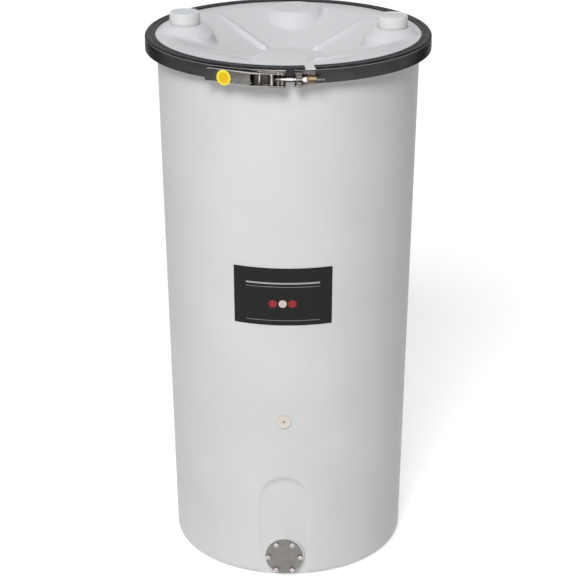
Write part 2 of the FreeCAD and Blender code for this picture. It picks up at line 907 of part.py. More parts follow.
def strap_form(radius, join_stand, end_angle):
    """Teardrop round the trunnion that runs out onto the band."""
    half = trunnion_length / 2
    loop = post(trunnion_point, radius, clasp_height - half, clasp_height + half)
    toward = (trunnion_point * 1.0).normalize()
    tail = slab([
        corner(trunnion_point - toward * radius),
        corner(trunnion_point + toward * radius),
        corner(around(strap_join_angle, join_stand)),
        corner(around(end_angle, join_stand)),
        corner(around(end_angle, -strap_foot_thickness)),
    ], clasp_height - half, clasp_height + half)
    return loop.fuse(tail)


def make_trunnion_strap():
    inner_radius = trunnion_radius + strap_gap
    outside = strap_form(inner_radius + strap_thickness, strap_foot_thickness, strap_end_angle)
    inside = strap_form(inner_radius, strap_foot_thickness - strap_thickness, strap_join_angle)
    inside = inside.cut(post(ORIGIN, band_radius + weld_gap + strap_thickness, 0, cap_top))
    strap = outside.cut(inside).cut(post(ORIGIN, band_radius + weld_gap, 0, cap_top))
    window_from = around(trunnion_angle, 0).x - 2 * trunnion_radius
    window_to = around(strap_join_angle, 0).x
    window = Part.makeBox(window_to - window_from, band_radius, strap_window,
                          Vector(window_from, -1.5 * band_radius, clasp_height - strap_window / 2))
    return strap.cut(window).removeSplitter()


def make_all():
    """Every piece by its name."""
    left, right = neck_points()
    return {
        "tank_body": make_tank_body(),
        "rim_gasket": make_rim_gasket(),
        "outlet_gasket": make_outlet_gasket(),
        "outlet_plate": make_outlet_plate(),
        "outlet_bolts": make_outlet_bolts(),
        "outlet_inserts": make_outlet_inserts(),
        "sample_port_bush": make_port_bush(),
        "sample_port_seal": make_port_seal(),
        "sample_port_nut": make_port_nut(),
        "sample_port_plug": make_port_plug(),
        "front_label": make_label(),
        "lid": make_lid(),
        "left_cap": make_cap(left),
        "left_cap_seal": make_cap_seal(left),
        "right_cap": make_cap(right),
        "right_cap_seal": make_cap_seal(right),
        "clamp_liner": make_liner(),
        "clamp_band": make_band(),
        "clamp_tongue": make_tongue(),
        "latch_frame": make_latch_frame(),
        "lever_rivets": make_lever_rivets(),
        "stop_pin": make_stop_pin(),
        "latch_lever": make_lever(),
        "barrel_pin": make_barrel_pin(),
        "lever_tag": make_lever_tag(),
        "eye_bolt": make_eye_bolt(),
        "bolt_sleeve": make_bolt_sleeve(),
        "adjusting_nut": make_adjusting_nut(),
        "trunnion": make_trunnion(),
        "trunnion_strap": make_trunnion_strap(),
    }


def say(name, shape):
    box = shape.BoundBox
    print(f"{name:18s} solids {len(shape.Solids)} valid {shape.isValid()} "
          f"volume {shape.Volume / 1000:9.2f} cm3 "
          f"x {box.XMin:7.1f} {box.XMax:7.1f} y {box.YMin:7.1f} {box.YMax:7.1f} "
          f"z {box.ZMin:7.1f} {box.ZMax:7.1f}")


def main():
    os.makedirs("parts", exist_ok=True)
    for name, shape in make_all().items():
        shape.exportStep(f"parts/{name}.step")
        say(name, shape)
    print("pivot", pivot_point, "barrel", barrel_point, "trunnion", trunnion_point)
    print("bolt line", bolt_line)


main()
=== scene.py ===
import json
import math

import bmesh
import bpy
from mathutils import Matrix, Vector


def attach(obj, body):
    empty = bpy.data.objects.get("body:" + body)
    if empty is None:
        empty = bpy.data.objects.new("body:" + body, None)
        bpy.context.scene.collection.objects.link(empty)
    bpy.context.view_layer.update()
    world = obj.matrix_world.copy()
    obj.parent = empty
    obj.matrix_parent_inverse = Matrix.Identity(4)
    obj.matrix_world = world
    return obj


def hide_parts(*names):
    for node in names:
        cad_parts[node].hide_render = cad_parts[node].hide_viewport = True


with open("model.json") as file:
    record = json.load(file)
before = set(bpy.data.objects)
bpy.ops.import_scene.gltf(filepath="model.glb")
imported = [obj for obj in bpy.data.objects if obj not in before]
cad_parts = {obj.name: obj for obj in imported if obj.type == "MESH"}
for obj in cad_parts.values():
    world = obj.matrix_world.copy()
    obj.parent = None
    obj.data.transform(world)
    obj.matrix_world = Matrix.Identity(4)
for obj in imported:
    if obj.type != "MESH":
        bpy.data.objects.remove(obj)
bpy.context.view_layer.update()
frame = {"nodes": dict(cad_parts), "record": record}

print("frame loaded:", len(frame["nodes"]), "pieces")


# node helpers

def newFinish(name, colour, roughness, metallic=0.0):
    finish = bpy.data.materials.new(name)
    finish.use_nodes = True
    nodes, links = finish.node_tree.nodes, finish.node_tree.links
    shader = nodes["Principled BSDF"]
    shader.inputs["Base Color"].default_value = (*colour, 1)
    shader.inputs["Roughness"].default_value = roughness
    shader.inputs["Metallic"].default_value = metallic
    return finish, nodes, links, shader


def objectPoints(nodes, links, scale=(1, 1, 1)):
    place = nodes.new("ShaderNodeTexCoord")
    mapping = nodes.new("ShaderNodeMapping")
    mapping.inputs["Scale"].default_value = scale
    links.new(place.outputs["Object"], mapping.inputs["Vector"])
    return mapping.outputs["Vector"]


def calculate(nodes, links, operation, first, second=0.0, third=None):
    node = nodes.new("ShaderNodeMath")
    node.operation = operation
    for socket, value in zip(node.inputs, (first, second, third)):
        if value is None:
            continue
        if isinstance(value, (int, float)):
            socket.default_value = value
        else:
            links.new(value, socket)
    return node.outputs["Value"]


def objectAxes(nodes, links):
    place = nodes.new("ShaderNodeTexCoord")
    parts = nodes.new("ShaderNodeSeparateXYZ")
    links.new(place.outputs["Object"], parts.inputs["Vector"])
    return parts.outputs


def aroundPoints(nodes, links, along, up):
    # points stretched for marks that run round the tank, the angle round it and the height
    axes = objectAxes(nodes, links)
    turned = calculate(nodes, links, "MULTIPLY", axes["Y"], -1.0)
    angle = calculate(nodes, links, "ARCTAN2", axes["X"], turned)
    joined = nodes.new("ShaderNodeCombineXYZ")
    links.new(calculate(nodes, links, "MULTIPLY", angle, along), joined.inputs["X"])
    links.new(calculate(nodes, links, "MULTIPLY", axes["Z"], up), joined.inputs["Y"])
    return joined.outputs["Vector"], angle, axes["Z"]


def noiseFrom(nodes, links, points, scale, detail=3.0, roughness=0.5):
    noise = nodes.new("ShaderNodeTexNoise")
    noise.inputs["Scale"].default_value = scale
    noise.inputs["Detail"].default_value = detail
    noise.inputs["Roughness"].default_value = roughness
    links.new(points, noise.inputs["Vector"])
    return noise.outputs["Fac"]


def spread(nodes, links, value, low, high, outLow=0.0, outHigh=1.0):
    # the value between low and high, laid out between the two results
    node = nodes.new("ShaderNodeMapRange")
    node.inputs["From Min"].default_value = low
    node.inputs["From Max"].default_value = high
    node.inputs["To Min"].default_value = outLow
    node.inputs["To Max"].default_value = outHigh
    links.new(value, node.inputs["Value"])
    return node.outputs["Result"]


def mixColours(nodes, links, share, first, second):
    # sockets 6 and 7 and output 2 are the ones for colours
    node = nodes.new("ShaderNodeMix")
    node.data_type = "RGBA"
    links.new(share, node.inputs["Factor"])
    for socket, colour in ((node.inputs[6], first), (node.inputs[7], second)):
        if isinstance(colour, tuple):
            socket.default_value = (*colour, 1)
        else:
            links.new(colour, socket)
    return node.outputs[2]


def addBump(nodes, links, shader, height, strength, distance, under=None):
    bump = nodes.new("ShaderNodeBump")
    bump.inputs["Strength"].default_value = strength
    bump.inputs["Distance"].default_value = distance
    links.new(height, bump.inputs["Height"])
    if under is not None:
        links.new(under, bump.inputs["Normal"])
    links.new(bump.outputs["Normal"], shader.inputs["Normal"])
    return bump.outputs["Normal"]


# camera, floor and light

cameraView = {
    "distance": 4.0887,      # from the tank's axis, in metres
    "height": 2.1984,
    "turn": 2.0,             # degrees to the right of the front
    "tilt": 21.161,          # degrees below level
    "lens": 122.83,
    "shiftX": -0.0005,
    "shiftY": -0.0186,
    "clipEnd": 60.0,
}

roomLight = {
    "skyColour": (0.94, 0.97, 1.0),
    "skyStrength": 0.19,
    "floorColour": (0.90, 0.90, 0.89),
    "floorRoughness": 0.8,
    "floorGlow": 0.60,       # what the camera sees on top of the lit floor
    "farGlow": 0.25,         # what it sees on top of that, far away
    "farFrom": 1.5,
    "farTo": 6.0,
    "floorSize": 16.0,
}

roomLamps = {
    "windowLamp": {"place": (-1.1, -6.0, 5.8), "aim": (0, 0, 0.7), "size": 3.0, "power": 450.0,
                   "colour": (0.99, 0.995, 1.0)},
    "ceilingLamp": {"place": (-0.6, 1.0, 3.8), "aim": (0, 0, 1.0), "size": 1.6, "power": 6.0,
                    "colour": (0.97, 0.985, 1.0)},
}


def placeCamera():
    turn = math.radians(cameraView["turn"])
    data = bpy.data.cameras.new("tankCamera")
    data.lens = cameraView["lens"]
    data.shift_x = cameraView["shiftX"]
    data.shift_y = cameraView["shiftY"]
    data.clip_end = cameraView["clipEnd"]
    camera = bpy.data.objects.new("tankCamera", data)
    camera.location = (cameraView["distance"] * math.sin(turn),
                       -cameraView["distance"] * math.cos(turn),
                       cameraView["height"])
    camera.rotation_euler = (math.radians(90 - cameraView["tilt"]), 0, turn)
    bpy.context.collection.objects.link(camera)
    bpy.context.scene.camera = camera


def seenDirectly(nodes, links):
    # 1 for camera, glossy and transmission rays, so that the white shows in metal and gloss too
    path = nodes.new("ShaderNodeLightPath")
    value = path.outputs["Is Camera Ray"]
    for other in ("Is Glossy Ray", "Is Transmission Ray"):
        value = calculate(nodes, links, "MAXIMUM", value, path.outputs[other])
    return value


def lightRoom():
    bpy.context.scene.view_settings.view_transform = "Standard"
    world = bpy.data.worlds.new("room")
    bpy.context.scene.world = world
    world.use_nodes = True
    nodes, links = world.node_tree.nodes, world.node_tree.links
    sky = nodes["Background"]
    sky.inputs["Color"].default_value = (*roomLight["skyColour"], 1)
    sky.inputs["Strength"].default_value = roomLight["skyStrength"]
    white = nodes.new("ShaderNodeBackground")
    white.inputs["Color"].default_value = (1, 1, 1, 1)
    mix = nodes.new("ShaderNodeMixShader")
    links.new(seenDirectly(nodes, links), mix.inputs["Fac"])
    links.new(sky.outputs["Background"], mix.inputs[1])
    links.new(white.outputs["Background"], mix.inputs[2])
    links.new(mix.outputs["Shader"], nodes["World Output"].inputs["Surface"])
    for name, lamp in roomLamps.items():
        data = bpy.data.lights.new(name, "AREA")
        data.shape = "DISK"
        data.size = lamp["size"]
        data.energy = lamp["power"]
        data.color = lamp["colour"]
        light = bpy.data.objects.new(name, data)
        light.location = lamp["place"]
        away = Vector(lamp["place"]) - Vector(lamp["aim"])
        light.rotation_euler = away.to_track_quat("Z", "Y").to_euler()
        bpy.context.collection.objects.link(light)


def layFloor():
    shape = bmesh.new()
    bmesh.ops.create_grid(shape, x_segments=2, y_segments=2, size=roomLight["floorSize"])
    mesh = bpy.data.meshes.new("floor")
    shape.to_mesh(mesh)
    shape.free()
    floor = bpy.data.objects.new("floor", mesh)
    bpy.context.collection.objects.link(floor)
    finish, nodes, links, shader = newFinish("paleFloor", roomLight["floorColour"],
                                             roomLight["floorRoughness"])
    shader.inputs["Emission Color"].default_value = (1, 1, 1, 1)
    place = nodes.new("ShaderNodeTexCoord")
    reach = nodes.new("ShaderNodeVectorMath")
    reach.operation = "LENGTH"
    links.new(place.outputs["Object"], reach.inputs[0])
    share = spread(nodes, links, reach.outputs["Value"], roomLight["farFrom"], roomLight["farTo"],
                   0, roomLight["farGlow"])
    path = nodes.new("ShaderNodeLightPath")
    far = calculate(nodes, links, "MULTIPLY", path.outputs["Is Camera Ray"], share)
    glow = calculate(nodes, links, "MULTIPLY_ADD", seenDirectly(nodes, links),
                     roomLight["floorGlow"], far)
    links.new(glow, shader.inputs["Emission Strength"])
    mesh.materials.append(finish)


placeCamera()
lightRoom()
layFloor()
print("camera, floor and light placed")


# finishes

mouldedPlastic = {
    "tank": {"light": (0.75, 0.745, 0.745), "dark": (0.715, 0.71, 0.712),
             "roughness": (0.38, 0.5)},
    "lid": {"light": (0.75, 0.752, 0.765), "dark": (0.715, 0.718, 0.73),
            "roughness": (0.30, 0.42)},
    "cap": {"light": (0.87, 0.865, 0.86), "dark": (0.84, 0.835, 0.83), "roughness": (0.26, 0.34),
            # the greyer colour on the cap's top is painted shade, for less light falling on the
            # top than on the side
            "dustAndShade": (0.735, 0.745, 0.76), "topShadeFrom": 1.2125, "topShadeFull": 1.2155},   # on the top
}
mouldSkin = {
    "glow": 0.25, "glowRadius": (0.012, 0.012, 0.013), "specular": 0.2,
    "waves": 9.0, "waveStrength": 0.25, "waveDepth": 0.006,
    "grain": 420.0, "grainStrength": 0.12, "grainDepth": 0.0004,
}


def polyethylene(kind):
    # milky and waxy, with the long waves and fine skin of a rotational mould
    look, skin = mouldedPlastic[kind], mouldSkin
    finish, nodes, links, shader = newFinish(kind + "Polyethylene", look["light"],
                                             look["roughness"][0])
    points = objectPoints(nodes, links)
    clouds = noiseFrom(nodes, links, points, scale=5.0)
    colour = mixColours(nodes, links, spread(nodes, links, clouds, 0.35, 0.65),
                        look["light"], look["dark"])
    # painted shade: the cap turns greyer above a height, on its top
    if "dustAndShade" in look:
        share = spread(nodes, links, objectAxes(nodes, links)["Z"], look["topShadeFrom"],
                       look["topShadeFull"])
        colour = mixColours(nodes, links, share, colour, look["dustAndShade"])
    links.new(colour, shader.inputs["Base Color"])
    patches = noiseFrom(nodes, links, points, scale=60.0, detail=2.0)
    links.new(spread(nodes, links, patches, 0.3, 0.7, *look["roughness"]),
              shader.inputs["Roughness"])
    shader.inputs["Subsurface Weight"].default_value = skin["glow"]
    shader.inputs["Subsurface Radius"].default_value = skin["glowRadius"]
    shader.inputs["Subsurface Scale"].default_value = 1.0
    shader.inputs["Specular IOR Level"].default_value = skin["specular"]
    long = noiseFrom(nodes, links, points, skin["waves"], detail=1.0)
    waves = addBump(nodes, links, shader, long, skin["waveStrength"], skin["waveDepth"])
    fine = noiseFrom(nodes, links, points, skin["grain"], detail=2.0)
    addBump(nodes, links, shader, fine, skin["grainStrength"], skin["grainDepth"], waves)
    return finish


rubberLook = {
    "clean": (0.022, 0.022, 0.026), "dusty": (0.050, 0.050, 0.058), "roughness": (0.36, 0.52),
    "refraction": 1.15,        # low, so that a glancing view stays dark
}


def blackRubber():
    look = rubberLook
    finish, nodes, links, shader = newFinish("linerRubber", look["clean"], look["roughness"][0])
    points = objectPoints(nodes, links)
    dustAndShade = noiseFrom(nodes, links, points, scale=35.0, detail=5.0, roughness=0.6)
    links.new(mixColours(nodes, links, spread(nodes, links, dustAndShade, 0.45, 0.75), look["clean"],
                         look["dusty"]), shader.inputs["Base Color"])
    links.new(spread(nodes, links, dustAndShade, 0.3, 0.7, *look["roughness"]), shader.inputs["Roughness"])
    shader.inputs["IOR"].default_value = look["refraction"]
    around = aroundPoints(nodes, links, along=3.0, up=900.0)[0]
    lines = noiseFrom(nodes, links, around, scale=1.0, detail=2.0)
    addBump(nodes, links, shader, lines, strength=0.15, distance=0.0002)
    return finish


mottledLook = {
    "sealRubber": {"light": (0.74, 0.74, 0.71), "dark": (0.66, 0.66, 0.63), "roughness": 0.55,
                   "scale": 120.0, "strength": 0.2, "depth": 0.0003},
    "creamPlastic": {"light": (0.78, 0.72, 0.64), "dark": (0.70, 0.63, 0.54), "roughness": 0.4,
                     "scale": 220.0, "strength": 0.1, "depth": 0.0002},
}


def mottled(name):
    look = mottledLook[name]
    finish, nodes, links, shader = newFinish(name, look["light"], look["roughness"])
    mottle = noiseFrom(nodes, links, objectPoints(nodes, links), look["scale"])
    links.new(mixColours(nodes, links, mottle, look["light"], look["dark"]),
              shader.inputs["Base Color"])
    addBump(nodes, links, shader, mottle, look["strength"], look["depth"])
    return finish


stripLook = {
    "clean": (0.036, 0.034, 0.033), "worn": (0.070, 0.067, 0.064), "roughness": (0.22, 0.36),
    # the edge colour is a painted highlight along the band's top edge
    "edge": (0.30, 0.29, 0.29), "highlightFrom": 1.1729, "highlightFull": 1.1733,   # the bright upper edge
    "glancing": (0.36, 0.36, 0.36),   # tint of what it mirrors at a glancing view
}


def rolledStrip():
    # rolling lines run round the tank, with a few handling smears, and a painted highlight along
    # the band's top edge
    look = stripLook
    finish, nodes, links, shader = newFinish("bandSteel", look["clean"], look["roughness"][0], 1.0)
    around, _, height = aroundPoints(nodes, links, along=2.5, up=1400.0)
    lines = noiseFrom(nodes, links, around, scale=1.0, roughness=0.6)
    smears = noiseFrom(nodes, links, objectPoints(nodes, links), scale=14.0, detail=4.0,
                       roughness=0.6)
    both = calculate(nodes, links, "MULTIPLY_ADD", lines, 0.5,
                     calculate(nodes, links, "MULTIPLY", smears, 0.5))
    surface = mixColours(nodes, links, spread(nodes, links, both, 0.35, 0.65), look["clean"],
                         look["worn"])
    # painted highlight: the band's top edge turns light
    paintedHighlight = spread(nodes, links, height, look["highlightFrom"], look["highlightFull"])
    links.new(mixColours(nodes, links, paintedHighlight, surface, look["edge"]), shader.inputs["Base Color"])
    links.new(spread(nodes, links, both, 0.3, 0.7, *look["roughness"]), shader.inputs["Roughness"])
    shader.inputs["Specular Tint"].default_value = (*look["glancing"], 1)
    addBump(nodes, links, shader, lines, strength=0.12, distance=0.0001)
    return finish


metalLook = {   # colour, worn colour, least and most roughness
    "latchSteel": ((0.125, 0.118, 0.110), (0.21, 0.20, 0.19), (0.2, 0.36)),
    "latchFrameSteel": ((0.045, 0.038, 0.034), (0.095, 0.085, 0.078), (0.2, 0.36)),
    "leverSteel": ((0.135, 0.128, 0.122), (0.195, 0.187, 0.180), (0.22, 0.36)),
    "strapSteel": ((0.12, 0.105, 0.10), (0.26, 0.235, 0.225), (0.2, 0.36)),
    "plateSteel": ((0.225, 0.212, 0.203), (0.185, 0.177, 0.168), (0.3, 0.46)),
    "boltSteel": ((0.62, 0.57, 0.57), (0.42, 0.39, 0.39), (0.16, 0.3)),
    "eyeBoltSteel": ((0.72, 0.67, 0.67), (0.42, 0.385, 0.38), (0.16, 0.3)),
    "stopPinSteel": ((0.62, 0.58, 0.56), (0.40, 0.37, 0.35), (0.2, 0.3)),
    "trunnionSteel": ((0.13, 0.112, 0.108), (0.36, 0.32, 0.31), (0.16, 0.3)),
    "sleeveSteel": ((0.80, 0.72, 0.72), (0.60, 0.53, 0.53), (0.14, 0.24)),
    "nutBrass": ((0.145, 0.098, 0.058), (0.07, 0.052, 0.036), (0.30, 0.44)),
}
# Bare metal at the sheared top and bottom edges, made far brighter than the sheet as a painted
# highlight.
bareHighlitEdges = {   # sheared edges: middle height, half width of the sheet, softness, colour
    "latchFrameSteel": (1.158, 0.0154, 0.0008, (0.34, 0.285, 0.262)),
    "leverSteel": (1.158, 0.0131, 0.0008, (0.60, 0.58, 0.58)),
}
# Bands of colour across the latch, painted highlights and painted shade among them.
paintedBands = {   # along the latch, a colour takes over from the first place to past the second
    # painted highlight bars across the frame, with its dark colour between and beyond them
    "latchFrameSteel": [
        (0.0005, -0.0003, (0.33, 0.30, 0.29)),
        (-0.0030, -0.0038, (0.055, 0.048, 0.044)),
        (-0.0075, -0.0083, (0.33, 0.30, 0.29)),
        (-0.0105, -0.0113, (0.060, 0.052, 0.047)),
    ],
    # darker towards the lever's tip
    "leverSteel": [(-0.085, -0.145, (0.050, 0.050, 0.053))],
    "eyeBoltSteel": [
        # painted shade over the eye and its neck, darkest on both sides of a painted highlight
        # line down the middle of the eye
        (0.002, -0.008, (0.16, 0.145, 0.138)),
        (-0.0145, -0.0155, (0.050, 0.045, 0.042)),
        (-0.0195, -0.0205, (0.42, 0.385, 0.37)),
        (-0.0230, -0.0240, (0.050, 0.045, 0.042)),
        # darker towards the end of the thread
        (0.040, 0.055, (0.17, 0.160, 0.155)),
    ],
}
sheetGrain = {"plateSteel": (40.0, 40.0, 700.0)}


# lays the painted bands along X over a surface colour
def addPaintedBands(nodes, links, name, surface):
    across = objectAxes(nodes, links)["X"]
    for start, full, colour in paintedBands.get(name, ()):
        share = spread(nodes, links, across, start, full)
        surface = mixColours(nodes, links, share, surface, colour)
    return surface


def pressedSheet(name):
    colour, worn, roughness = metalLook[name]
    finish, nodes, links, shader = newFinish(name, colour, roughness[0], 1.0)
    grain = objectPoints(nodes, links, sheetGrain.get(name, (60.0, 60.0, 900.0)))
    lines = noiseFrom(nodes, links, grain, scale=1.0, roughness=0.6)
    smears = noiseFrom(nodes, links, objectPoints(nodes, links), scale=70.0, detail=4.0,
                       roughness=0.6)
    surface = mixColours(nodes, links, spread(nodes, links, smears, 0.35, 0.65), colour, worn)
    surface = addPaintedBands(nodes, links, name, surface)
    if name in bareHighlitEdges:
        # bare metal at the top and bottom edges of the sheet, with a painted highlight
        middle, half, soft, bareHighlight = bareHighlitEdges[name]
        above = calculate(nodes, links, "SUBTRACT", objectAxes(nodes, links)["Z"], middle)
        away = calculate(nodes, links, "ABSOLUTE", above)
        bareHighlitShare = spread(nodes, links, away, half - soft, half)
        surface = mixColours(nodes, links, bareHighlitShare, surface, bareHighlight)
    links.new(surface, shader.inputs["Base Color"])
    links.new(spread(nodes, links, lines, 0.3, 0.7, *roughness), shader.inputs["Roughness"])
    addBump(nodes, links, shader, lines, strength=0.15, distance=0.0001)
    return finish


def turnedMetal(name):
    colour, worn, roughness = metalLook[name]
    finish, nodes, links, shader = newFinish(name, colour, roughness[0], 1.0)
    points = objectPoints(nodes, links)
    smears = noiseFrom(nodes, links, points, scale=160.0, detail=4.0, roughness=0.6)
    surface = mixColours(nodes, links, spread(nodes, links, smears, 0.4, 0.7), colour, worn)
    links.new(addPaintedBands(nodes, links, name, surface), shader.inputs["Base Color"])
    links.new(spread(nodes, links, smears, 0.3, 0.7, *roughness), shader.inputs["Roughness"])
    fine = noiseFrom(nodes, links, points, scale=900.0, detail=2.0)
    addBump(nodes, links, shader, fine, strength=0.08, distance=0.0001)
    return finish


labelPrint = {
    "ink": (0.012, 0.012, 0.013),
    "fadedInk": (0.02, 0.019, 0.02),
    "rules": [   # middle angle, middle height, half width, half height, colour
        (-0.0087, 0.7060, 0.290, 0.0018, (0.42, 0.42, 0.43)),
        (-0.0087, 0.6980, 0.290, 0.0005, (0.30, 0.30, 0.31)),
        (-0.0087, 0.6220, 0.290, 0.0005, (0.30, 0.30, 0.31)),
    ],
    "spots": [   # angle, height, radius, colour
        (-0.0847, 0.6600, 0.0085, (0.36, 0.03, 0.03)),
        (-0.0087, 0.6600, 0.0085, (0.62, 0.57, 0.50)),
        (0.0673, 0.6600, 0.0085, (0.36, 0.03, 0.03)),
    ],
    "spotReach": 0.2685,     # radius of the label, for round spots
    "specular": 0.12, "roughness": 0.12,
}


def labelFilm():
    finish, nodes, links, shader = newFinish("labelFilm", labelPrint["ink"],
                                             labelPrint["roughness"])
    around, angle, height = aroundPoints(nodes, links, along=40.0, up=40.0)
    faded = noiseFrom(nodes, links, around, scale=1.0, detail=2.0)
    colour = mixColours(nodes, links, faded, labelPrint["ink"], labelPrint["fadedInk"])
    for middle, level, halfWidth, halfHeight, tint in labelPrint["rules"]:
        inWidth = calculate(nodes, links, "COMPARE", angle, middle, halfWidth)
        inHeight = calculate(nodes, links, "COMPARE", height, level, halfHeight)
        share = calculate(nodes, links, "MULTIPLY", inWidth, inHeight)
        colour = mixColours(nodes, links, share, colour, tint)
    for middle, level, radius, tint in labelPrint["spots"]:
        across = calculate(nodes, links, "SUBTRACT", angle, middle)
        across = calculate(nodes, links, "MULTIPLY", across, labelPrint["spotReach"])
        upward = calculate(nodes, links, "SUBTRACT", height, level)
        square = calculate(nodes, links, "MULTIPLY_ADD", across, across,
                           calculate(nodes, links, "MULTIPLY", upward, upward))
        share = calculate(nodes, links, "LESS_THAN", square, radius * radius)
        colour = mixColours(nodes, links, share, colour, tint)
    links.new(colour, shader.inputs["Base Color"])
    shader.inputs["Specular IOR Level"].default_value = labelPrint["specular"]
    ripples = noiseFrom(nodes, links, around, scale=0.6, detail=1.0)
    addBump(nodes, links, shader, ripples, strength=0.1, distance=0.0006)
    return finish


tagPrint = {
    "middle": (-0.1188, -0.2949, 1.155),
    "rimColour": (0.92, 0.79, 0.06),
    "discColour": (0.80, 0.47, 0.005),
    "mottleColour": (0.84, 0.58, 0.008),
    "discRadius": 0.0115,
    "soft": 0.0015,          # half width of the change from disc to rim
    "specular": 0.2, "roughness": 0.3,
}


def tagFilm():
    # a bright rim round a plain orange disc
    finish, nodes, links, shader = newFinish("tagFilm", tagPrint["rimColour"],
                                             tagPrint["roughness"])
    apart = nodes.new("ShaderNodeVectorMath")
    apart.operation = "DISTANCE"
    links.new(objectPoints(nodes, links), apart.inputs[0])
    apart.inputs[1].default_value = tagPrint["middle"]
    edge = spread(nodes, links, apart.outputs["Value"], tagPrint["discRadius"] - tagPrint["soft"],
                  tagPrint["discRadius"] + tagPrint["soft"])
    mottle = noiseFrom(nodes, links, objectPoints(nodes, links), scale=260.0)
    inner = mixColours(nodes, links, mottle, tagPrint["discColour"], tagPrint["mottleColour"])
    links.new(mixColours(nodes, links, edge, inner, tagPrint["rimColour"]),
              shader.inputs["Base Color"])
    shader.inputs["Specular IOR Level"].default_value = tagPrint["specular"]
    return finish


finishes = {
    "tank_plastic": polyethylene("tank"),
    "lid_plastic": polyethylene("lid"),
    "cap_plastic": polyethylene("cap"),
    "seal_rubber": mottled("sealRubber"),
    "liner_rubber": blackRubber(),
    "band_steel": rolledStrip(),
    "latch_steel": pressedSheet("latchSteel"),
    "bolt_steel": turnedMetal("boltSteel"),
    "brass": turnedMetal("nutBrass"),
    "plate_steel": pressedSheet("plateSteel"),
    "port_plastic": mottled("creamPlastic"),
    "label_film": labelFilm(),
    "tag_film": tagFilm(),
}
latchFinishes = {   # nodes of the latch that differ from their slot's finish
    "latch_frame": pressedSheet("latchFrameSteel"),
    "latch_lever": pressedSheet("leverSteel"),
    "stop_pin": turnedMetal("stopPinSteel"),
    "trunnion": turnedMetal("trunnionSteel"),
    "trunnion_strap": pressedSheet("strapSteel"),
    "bolt_sleeve": turnedMetal("sleeveSteel"),
    "eye_bolt": turnedMetal("eyeBoltSteel"),
}
slotOf = {entry["node"]: entry["material_slot"] for entry in frame["record"]["subparts"]}
bodyOf = {node: body for body, names in frame["record"]["behaviour"]["bodies"].items()
          for node in names}

for node, piece in frame["nodes"].items():
    for place in piece.material_slots:
        place.material = latchFinishes.get(node, finishes[slotOf[node]])
print("finishes made")


# makers for shapes

def turnedSection(corners, steps, start=0.0, sweep=360.0, arc=5):
    # a section of (radius, height, rounding) corners in front of the axis, spun about it
    shape = bmesh.new()
    points = [shape.verts.new((0, -radius, height)) for radius, height, rounding in corners]
    shape.faces.new(points)
    for index, (radius, height, rounding) in enumerate(corners):
        if not rounding:
            continue
        here = Vector((radius, height))
        back = Vector(corners[index - 1][:2]) - here
        ahead = Vector(corners[(index + 1) % len(corners)][:2]) - here
        reach = rounding / math.tan(back.angle(ahead) / 2)
        bmesh.ops.bevel(shape, geom=[points[index]], offset=reach, offset_type="OFFSET",
                        segments=arc, profile=0.5, affect="VERTICES", material=-1)
    whole = sweep > 359.9
    if whole:
        bmesh.ops.delete(shape, geom=shape.faces[:], context="FACES_ONLY")
        onAxis = [edge for edge in shape.edges
                  if all(abs(point.co.y) < 1e-7 for point in edge.verts)]
        bmesh.ops.delete(shape, geom=onAxis, context="EDGES")
    bmesh.ops.spin(shape, geom=shape.verts[:] + shape.edges[:] + shape.faces[:], cent=(0, 0, 0),
                   axis=(0, 0, 1), angle=math.radians(sweep), steps=steps, use_merge=whole)
    bmesh.ops.remove_doubles(shape, verts=shape.verts, dist=1e-6)
    bmesh.ops.recalc_face_normals(shape, faces=shape.faces)
    bmesh.ops.rotate(shape, cent=(0, 0, 0), matrix=Matrix.Rotation(math.radians(start), 3, "Z"),
                     verts=shape.verts)
    return shape


def copiedNode(node):
    shape = bmesh.new()
    shape.from_mesh(frame["nodes"][node].data)
    bmesh.ops.remove_doubles(shape, verts=shape.verts, dist=2e-6)
    return shape


def softenedNode(node, width, segments=2, sharp=28.0, flat=0.6):
    # a merged copy of a solid with its sharp edges rounded off; angles in degrees
    shape = copiedNode(node)
    bmesh.ops.dissolve_limit(shape, angle_limit=math.radians(flat), verts=shape.verts,
                             edges=shape.edges)
    edges = [edge for edge in shape.edges
             if edge.is_manifold and edge.calc_face_angle(0) > math.radians(sharp)]
    bmesh.ops.bevel(shape, geom=edges, offset=width, offset_type="OFFSET", segments=segments,
                    profile=0.5, affect="EDGES", clamp_overlap=True, material=-1)
    return shape


def addPiece(shape, name, node, replaced=(), finish=None, sharp=35.0):
    # the shape becomes a piece that rides as its node does
    mesh = bpy.data.meshes.new(name)
    shape.to_mesh(mesh)
    shape.free()
    mesh.shade_smooth()
    mesh.set_sharp_from_angle(angle=math.radians(sharp))
    mesh.materials.append(latchFinishes.get(node, finishes[finish or slotOf[node]]))
    piece = bpy.data.objects.new(name, mesh)
    bpy.context.collection.objects.link(piece)
    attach(piece, bodyOf[node])
    if replaced:
        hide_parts(*replaced)


def spareObject(shape, name):
    mesh = bpy.data.meshes.new(name)
    shape.to_mesh(mesh)
    shape.free()
    spare = bpy.data.objects.new(name, mesh)
    bpy.context.collection.objects.link(spare)
    return spare


def finishedMesh(shape, modifiers, tools=()):
    # the shape after the modifiers, which name their tool shapes by number
    work = spareObject(shape, "work")
    helpers = [spareObject(tool, "tool") for tool in tools]
    for kind, settings in modifiers:
        modifier = work.modifiers.new(kind.lower(), kind)
        for key, value in settings.items():
            setattr(modifier, key, helpers[value] if key == "object" else value)
    graph = bpy.context.evaluated_depsgraph_get()
    result = bmesh.new()
    result.from_mesh(bpy.data.meshes.new_from_object(work.evaluated_get(graph)))
    for spare in (work, *helpers):
        bpy.data.objects.remove(spare)
    return result


def booleanStep(operation, solver, tool):
    return "BOOLEAN", {"operation": operation, "solver": solver, "object": tool}


